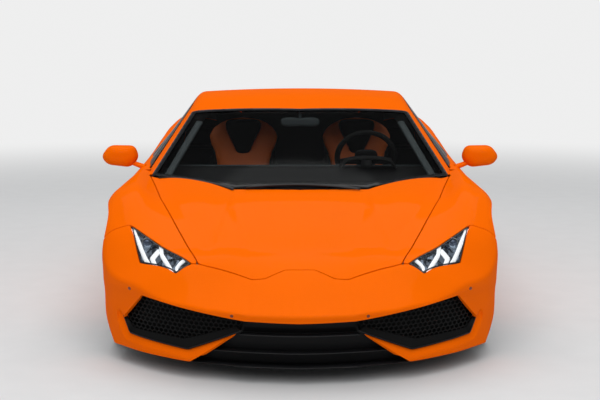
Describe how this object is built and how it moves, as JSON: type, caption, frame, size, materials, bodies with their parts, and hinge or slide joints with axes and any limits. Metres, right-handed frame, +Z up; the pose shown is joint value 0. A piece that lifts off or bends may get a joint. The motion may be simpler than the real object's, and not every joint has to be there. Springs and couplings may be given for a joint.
{
  "type": "mid-engined supercar",
  "caption": "Low wedge-shaped two-seat mid-engined supercar with hexagonal front intakes, opening doors, bonnet and engine cover, rolling wheels and steering.",
  "frame": {"origin": "on the ground under the middle of the car's length, on its centreline", "axes": "+X to the car's left, +Y rearwards, +Z up; the nose points along -Y"},
  "size_m": [2.18, 4.4577, 1.1648],
  "materials": {
    "paint": "high-gloss clear-coated orange",
    "black_trim": "satin black",
    "black_gloss": "gloss black",
    "lamp": "clear lens over a dark reflector",
    "tail_lamp": "red lens",
    "glass": "clear",
    "tyre": "black rubber",
    "rim": "dark satin alloy",
    "cast_metal": "cast",
    "steel": "bare steel",
    "tub": "dark coated structure",
    "dash": "black leather",
    "seat": "orange leather with black insert",
    "steering": "black leather"
  },
  "bodies": {
    "body": {"front_bumper": "paint", "front_wings": "paint", "windscreen_pillars": "paint", "roof": "paint", "rear_deck": "paint", "quarter_panels": "paint", "sills": "paint", "rear_bumper": "paint", "front_grilles": "black_trim", "rear_grille": "black_trim", "front_splitter": "black_trim", "cowl": "black_trim", "diffuser": "black_trim", "arch_liners": "black_trim", "cabin_mirror": "black_gloss", "headlamps": "lamp", "tail_lamps": "tail_lamp", "windscreen": "glass", "engine_block": "cast_metal", "radiators": "cast_metal", "rear_knuckles": "steel", "suspension_arms": "steel", "exhausts": "steel", "floor_tub": "tub", "dashboard": "dash", "seats": "seat"},
    "bonnet": {"bonnet": "paint"},
    "engine_cover": {"engine_cover": "paint"},
    "door_left": {"door_left": "paint", "door_glass_left": "glass", "door_mirror_left": "paint"},
    "door_right": {"door_right": "paint", "door_glass_right": "glass", "door_mirror_right": "paint"},
    "steer_left": {"knuckle_front_left": "steel"},
    "steer_right": {"knuckle_front_right": "steel"},
    "wheel_front_left": {"tyre_front_left": "tyre", "wheel_front_left": "rim"},
    "wheel_front_right": {"tyre_front_right": "tyre", "wheel_front_right": "rim"},
    "wheel_rear_left": {"tyre_rear_left": "tyre", "wheel_rear_left": "rim"},
    "wheel_rear_right": {"tyre_rear_right": "tyre", "wheel_rear_right": "rim"},
    "steering_wheel": {"steering_wheel": "steering"}
  },
  "joints": [
    {"name": "bonnet_hinge", "type": "hinge", "parent": "body", "child": "bonnet", "pos_m": [0, -0.8495, 0.765], "axis": [-1, 0, 0], "range_deg": [0, 55]},
    {"name": "engine_cover_hinge", "type": "hinge", "parent": "body", "child": "engine_cover", "pos_m": [0, 0.6955, 1.14], "axis": [1, 0, 0], "range_deg": [0, 45]},
    {"name": "door_left_hinge", "type": "hinge", "parent": "body", "child": "door_left", "pos_m": [0.95, -0.7295, 0.5], "axis": [0, 0, -1], "range_deg": [0, 62]},
    {"name": "door_right_hinge", "type": "hinge", "parent": "body", "child": "door_right", "pos_m": [-0.95, -0.7295, 0.5], "axis": [0, 0, 1], "range_deg": [0, 62]},
    {"name": "steering_left", "type": "hinge", "parent": "body", "child": "steer_left", "pos_m": [0.795, -1.2995, 0.3275], "axis": [0, 0, 1], "range_deg": [-30, 30]},
    {"name": "steering_right", "type": "hinge", "parent": "body", "child": "steer_right", "pos_m": [-0.795, -1.2995, 0.3275], "axis": [0, 0, 1], "range_deg": [-30, 30]},
    {"name": "steering_column", "type": "hinge", "parent": "body", "child": "steering_wheel", "pos_m": [0.375, -0.3295, 0.8], "axis": [0, 0.9063, 0.4226], "range_deg": [-420, 420]},
    {"name": "front_left_spin", "type": "hinge", "parent": "steer_left", "child": "wheel_front_left", "pos_m": [0.795, -1.2995, 0.3275], "axis": [1, 0, 0], "continuous": true},
    {"name": "front_right_spin", "type": "hinge", "parent": "steer_right", "child": "wheel_front_right", "pos_m": [-0.795, -1.2995, 0.3275], "axis": [1, 0, 0], "continuous": true},
    {"name": "rear_left_spin", "type": "hinge", "parent": "body", "child": "wheel_rear_left", "pos_m": [0.8, 1.3205, 0.3455], "axis": [1, 0, 0], "continuous": true},
    {"name": "rear_right_spin", "type": "hinge", "parent": "body", "child": "wheel_rear_right", "pos_m": [-0.8, 1.3205, 0.3455], "axis": [1, 0, 0], "continuous": true}
  ],
  "couplings": [
    {"joint": "steering_right", "follows": "steering_left", "ratio": 1},
    {"joint": "steering_column", "follows": "steering_left", "ratio": 14}
  ]
}
